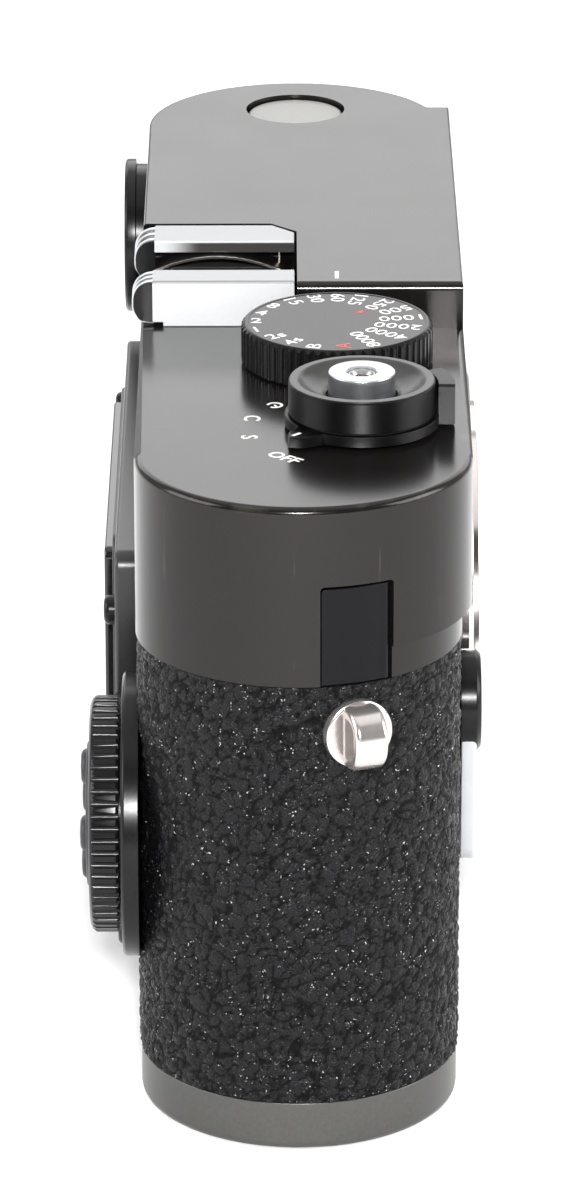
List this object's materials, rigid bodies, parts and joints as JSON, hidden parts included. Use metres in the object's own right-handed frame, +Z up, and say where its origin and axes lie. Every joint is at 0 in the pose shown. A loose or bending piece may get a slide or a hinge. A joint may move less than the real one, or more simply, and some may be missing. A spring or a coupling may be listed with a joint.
{
  "type": "rangefinder camera body",
  "caption": "Digital rangefinder camera body with leather skin, metal top cover and base plate, speed dial, release button with switch ring, lens mount, rear screen and setting dial.",
  "frame": {"origin": "under the middle of the whole object, on the surface that the base plate rests on", "axes": "+X along the camera's length to the end with the round counter window, +Y to the screen side (the lens side is -Y), +Z up"},
  "size_m": [0.1466, 0.0446, 0.0809],
  "materials": {
    "cover_finish": "satin black chrome",
    "base_finish": "satin grey-brown",
    "dial_finish": "semi-gloss black",
    "bright_chrome": "polished",
    "satin_steel": "satin",
    "skin_leather": "pebbled black",
    "black_plastic": "satin black",
    "pad_rubber": "matt black",
    "clear_glass": "coated",
    "frosted_window": "frosted",
    "screen_glass": "gloss",
    "cast_alloy": "cast",
    "circuit_board": "solder mask",
    "cell_plastic": "matt"
  },
  "bodies": {
    "camera_body": {"top_cover": "cover_finish", "viewfinder_window": "clear_glass", "frame_light_window": "frosted_window", "rangefinder_window": "clear_glass", "counter_window": "frosted_window", "counter_display": "black_plastic", "eyepiece_ring": "dial_finish", "eyepiece_lens": "clear_glass", "accessory_shoe": "bright_chrome", "shoe_contact_block": "black_plastic", "shoe_spring": "satin_steel", "speed_dial_encoder": "black_plastic", "release_cup": "dial_finish", "data_socket": "satin_steel", "body_shell": "cast_alloy", "leather_skin": "skin_leather", "lens_mount": "bright_chrome", "throat_box": "black_plastic", "shutter_front_plate": "dial_finish", "shutter_rear_plate": "dial_finish", "infrared_filter": "clear_glass", "image_sensor": "black_plastic", "sensor_board": "circuit_board", "main_board": "circuit_board", "chassis_plate": "cast_alloy", "finder_block": "black_plastic", "rear_panel": "black_plastic", "screen_module": "satin_steel", "screen_glass": "screen_glass", "setting_dial_base": "dial_finish", "strap_lug_release_side": "bright_chrome", "strap_lug_window_side": "bright_chrome", "battery_holder": "black_plastic", "battery": "cell_plastic", "card_slot": "satin_steel", "memory_card": "cell_plastic"},
    "speed_dial": {"shutter_speed_dial": "dial_finish"},
    "release": {"release_button": "bright_chrome"},
    "switch": {"main_switch": "dial_finish"},
    "flap": {"port_flap": "pad_rubber"},
    "follower": {"rangefinder_follower": "satin_steel"},
    "blade_upper": {"shutter_blade_upper": "dial_finish"},
    "blade_middle": {"shutter_blade_middle": "dial_finish"},
    "blade_lower": {"shutter_blade_lower": "dial_finish"},
    "button_1": {"rear_button_1": "dial_finish"},
    "button_2": {"rear_button_2": "dial_finish"},
    "button_3": {"rear_button_3": "dial_finish"},
    "button_4": {"rear_button_4": "dial_finish"},
    "button_5": {"rear_button_5": "dial_finish"},
    "button_menu": {"menu_button": "dial_finish"},
    "button_set": {"set_button": "dial_finish"},
    "ring": {"setting_ring": "black_plastic"},
    "pad_gimbal": {"pad_pivot": "satin_steel"},
    "pad": {"direction_pad": "pad_rubber"},
    "lever": {"frame_lever": "dial_finish"},
    "lens_release": {"lens_release_button": "dial_finish"},
    "base": {"base_plate": "base_finish", "tripod_socket": "satin_steel"},
    "lock_key": {"base_lock_key": "satin_steel"},
    "lock_bail": {"base_lock_bail": "satin_steel"}
  },
  "joints": [
    {"name": "release_press", "type": "slide", "parent": "camera_body", "child": "release", "axis": [0, 0, -1], "range_m": [0, 0.0018], "stiffness_N_per_m": 500, "springref_m": -0.001},
    {"name": "main_switch_turn", "type": "hinge", "parent": "camera_body", "child": "switch", "pos_m": [-0.0431, -0.00864, 0.0755], "axis": [0, 0, 1], "range_deg": [-86, 0]},
    {"name": "speed_dial_turn", "type": "hinge", "parent": "camera_body", "child": "speed_dial", "pos_m": [-0.0214, -0.00613, 0.077], "axis": [0, 0, 1], "continuous": true},
    {"name": "port_flap_hinge", "type": "hinge", "parent": "camera_body", "child": "flap", "pos_m": [-0.06653, -0.01063, 0.06], "axis": [0, 0, 1], "range_deg": [0, 110]},
    {"name": "follower_swing", "type": "hinge", "parent": "camera_body", "child": "follower", "pos_m": [0.001, -0.01223, 0.0544], "axis": [1, 0, 0], "range_deg": [-6, 6], "stiffness_Nm_per_rad": 0.01},
    {"name": "blade_upper_slide", "type": "slide", "parent": "camera_body", "child": "blade_upper", "axis": [0, 0, -1], "range_m": [0, 0.0215], "stiffness_N_per_m": 4, "springref_m": -0.012},
    {"name": "blade_middle_slide", "type": "slide", "parent": "camera_body", "child": "blade_middle", "axis": [0, 0, -1], "range_m": [0, 0.0143]},
    {"name": "blade_lower_slide", "type": "slide", "parent": "camera_body", "child": "blade_lower", "axis": [0, 0, -1], "range_m": [0, 0.0071]},
    {"name": "button_1_press", "type": "slide", "parent": "camera_body", "child": "button_1", "axis": [0, -1, 0], "range_m": [0, 0.0008], "stiffness_N_per_m": 800, "springref_m": -0.0004},
    {"name": "button_2_press", "type": "slide", "parent": "camera_body", "child": "button_2", "axis": [0, -1, 0], "range_m": [0, 0.0008], "stiffness_N_per_m": 800, "springref_m": -0.0004},
    {"name": "button_3_press", "type": "slide", "parent": "camera_body", "child": "button_3", "axis": [0, -1, 0], "range_m": [0, 0.0008], "stiffness_N_per_m": 800, "springref_m": -0.0004},
    {"name": "button_4_press", "type": "slide", "parent": "camera_body", "child": "button_4", "axis": [0, -1, 0], "range_m": [0, 0.0008], "stiffness_N_per_m": 800, "springref_m": -0.0004},
    {"name": "button_5_press", "type": "slide", "parent": "camera_body", "child": "button_5", "axis": [0, -1, 0], "range_m": [0, 0.0008], "stiffness_N_per_m": 800, "springref_m": -0.0004},
    {"name": "menu_press", "type": "slide", "parent": "camera_body", "child": "button_menu", "axis": [0, -1, 0], "range_m": [0, 0.0008], "stiffness_N_per_m": 800, "springref_m": -0.0004},
    {"name": "set_press", "type": "slide", "parent": "camera_body", "child": "button_set", "axis": [0, -1, 0], "range_m": [0, 0.0008], "stiffness_N_per_m": 800, "springref_m": -0.0004},
    {"name": "setting_ring_turn", "type": "hinge", "parent": "camera_body", "child": "ring", "pos_m": [-0.046, 0.0195, 0.0302], "axis": [0, 1, 0], "continuous": true},
    {"name": "pad_tilt_up_down", "type": "hinge", "parent": "camera_body", "child": "pad_gimbal", "pos_m": [-0.046, 0.02002, 0.0302], "axis": [1, 0, 0], "range_deg": [-3, 3], "stiffness_Nm_per_rad": 0.05},
    {"name": "pad_tilt_left_right", "type": "hinge", "parent": "pad_gimbal", "child": "pad", "pos_m": [-0.046, 0.02002, 0.0302], "axis": [0, 0, 1], "range_deg": [-3, 3], "stiffness_Nm_per_rad": 0.05},
    {"name": "frame_lever_swing", "type": "hinge", "parent": "camera_body", "child": "lever", "pos_m": [-0.0335, -0.02, 0.0387], "axis": [0, 1, 0], "range_deg": [-15, 15], "stiffness_Nm_per_rad": 0.02},
    {"name": "lens_release_press", "type": "slide", "parent": "camera_body", "child": "lens_release", "axis": [0, 1, 0], "range_m": [0, 0.0012], "stiffness_N_per_m": 600, "springref_m": -0.0005},
    {"name": "base_plate_lift", "type": "slide", "parent": "camera_body", "child": "base", "axis": [0, 0, -1], "range_m": [0, 0.012]},
    {"name": "base_lock_turn", "type": "hinge", "parent": "base", "child": "lock_key", "pos_m": [0.046, -0.00173, 0.001], "axis": [0, 0, 1], "range_deg": [0, 180]},
    {"name": "base_lock_bail_fold", "type": "hinge", "parent": "lock_key", "child": "lock_bail", "pos_m": [0.046, -0.00173, 0.0007], "axis": [-1, 0, 0], "range_deg": [0, 90]}
  ],
  "couplings": [
    {"joint": "blade_middle_slide", "follows": "blade_upper_slide", "ratio": 0.665},
    {"joint": "blade_lower_slide", "follows": "blade_upper_slide", "ratio": 0.33}
  ]
}
